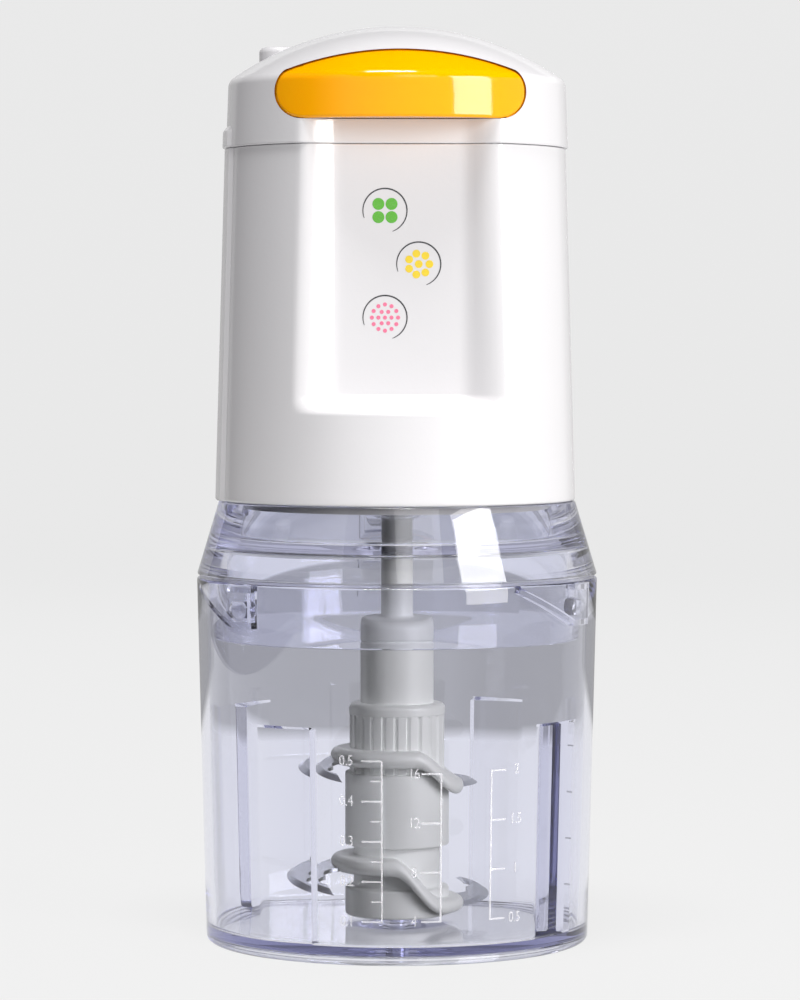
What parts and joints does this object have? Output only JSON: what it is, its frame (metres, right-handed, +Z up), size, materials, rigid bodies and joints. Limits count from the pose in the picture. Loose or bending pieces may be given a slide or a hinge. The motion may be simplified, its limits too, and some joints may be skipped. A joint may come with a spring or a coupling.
{
  "type": "electric food chopper",
  "caption": "Countertop electric food chopper: clear bowl and bayonet lid, two-level blade spindle, white domed motor unit with a front finger recess and an amber push bar.",
  "frame": {"origin": "on the table under the middle of the bowl", "axes": "+Z up along the spindle, -Y towards the push bar's front, +X to the right"},
  "size_m": [0.12, 0.12, 0.2734],
  "materials": {
    "clear_plastic": "clear polished moulding with a faint lilac tint",
    "seal_silicone": "translucent soft satin",
    "grey_plastic": "light grey satin moulding",
    "blade_steel": "ground stainless steel",
    "white_plastic": "white gloss moulding",
    "amber_plastic": "amber gloss moulding",
    "pin_steel": "ground bright",
    "screw_steel": "zinc plated",
    "bearing_steel": "ground",
    "bronze": "sintered bronze",
    "dark_plastic": "glass-filled nylon, dark",
    "gear_nylon": "natural nylon",
    "core_iron": "stacked sheet steel",
    "copper": "enamelled copper",
    "brass": "folded brass",
    "carbon": "pressed carbon"
  },
  "bodies": {
    "bowl": {"bowl": "clear_plastic", "blade_pin": "pin_steel"},
    "seal": {"lid_seal": "seal_silicone"},
    "lid": {"lid": "clear_plastic"},
    "motor_unit": {"housing": "white_plastic", "cap": "white_plastic", "base_plate": "white_plastic", "base_screws": "screw_steel", "cord_gland": "white_plastic", "hinge_pin": "pin_steel", "switch_body": "dark_plastic", "gear_plate": "dark_plastic", "frame_screws": "screw_steel", "lower_output_bush": "bronze", "upper_output_bush": "bronze", "lower_bearing": "bearing_steel", "upper_bearing": "bearing_steel", "stator_core": "core_iron", "field_coils": "copper", "stator_bolts": "screw_steel", "motor_bracket": "dark_plastic", "brush_holders": "brass", "carbon_brushes": "carbon"},
    "button": {"button": "amber_plastic"},
    "plunger": {"switch_plunger": "dark_plastic"},
    "rotor": {"motor_shaft": "pin_steel", "armature_core": "core_iron", "armature_windings": "copper", "commutator": "copper", "cooling_fan": "gear_nylon", "pinion": "bronze"},
    "drive": {"drive_coupler": "dark_plastic", "output_shaft": "pin_steel", "drive_gear": "gear_nylon"},
    "blade": {"blade_shaft": "grey_plastic", "spindle_bushes": "bronze", "lower_blade_hub": "grey_plastic", "lower_blade": "blade_steel", "upper_blade_hub": "grey_plastic", "upper_blade": "blade_steel"}
  },
  "joints": [
    {"name": "lid_lift", "type": "slide", "parent": "bowl", "child": "seal", "axis": [0, 0, 1], "range_m": [0, 0.0092]},
    {"name": "lid_turn", "type": "hinge", "parent": "seal", "child": "lid", "pos_m": [0, 0, 0.1101], "axis": [0, 0, 1], "range_deg": [-22, 0]},
    {"name": "motor_lift", "type": "slide", "parent": "lid", "child": "motor_unit", "axis": [0, 0, 1], "range_m": [0, 0.04]},
    {"name": "motor_spin", "type": "hinge", "parent": "motor_unit", "child": "rotor", "pos_m": [0, 0.018, 0.19], "axis": [0, 0, 1], "continuous": true},
    {"name": "drive_spin", "type": "hinge", "parent": "motor_unit", "child": "drive", "pos_m": [0, 0, 0.145], "axis": [0, 0, 1], "continuous": true},
    {"name": "blade_spin", "type": "hinge", "parent": "bowl", "child": "blade", "pos_m": [0, 0, 0.045], "axis": [0, 0, 1], "continuous": true},
    {"name": "button_press", "type": "hinge", "parent": "motor_unit", "child": "button", "pos_m": [0, -0.033, 0.247], "axis": [-1, 0, 0], "range_deg": [0, 4.5], "stiffness_Nm_per_rad": 0.6, "springref_deg": -2.86},
    {"name": "plunger_push", "type": "slide", "parent": "motor_unit", "child": "plunger", "axis": [0, 1, 0], "range_m": [0, 0.00075]}
  ],
  "couplings": [
    {"joint": "lid_lift", "follows": "lid_turn", "m_per_rad": -0.023778},
    {"joint": "drive_spin", "follows": "motor_spin", "ratio": -0.36364},
    {"joint": "blade_spin", "follows": "motor_spin", "ratio": -0.36364},
    {"joint": "plunger_push", "follows": "button_press", "m_per_rad": 0.009}
  ]
}
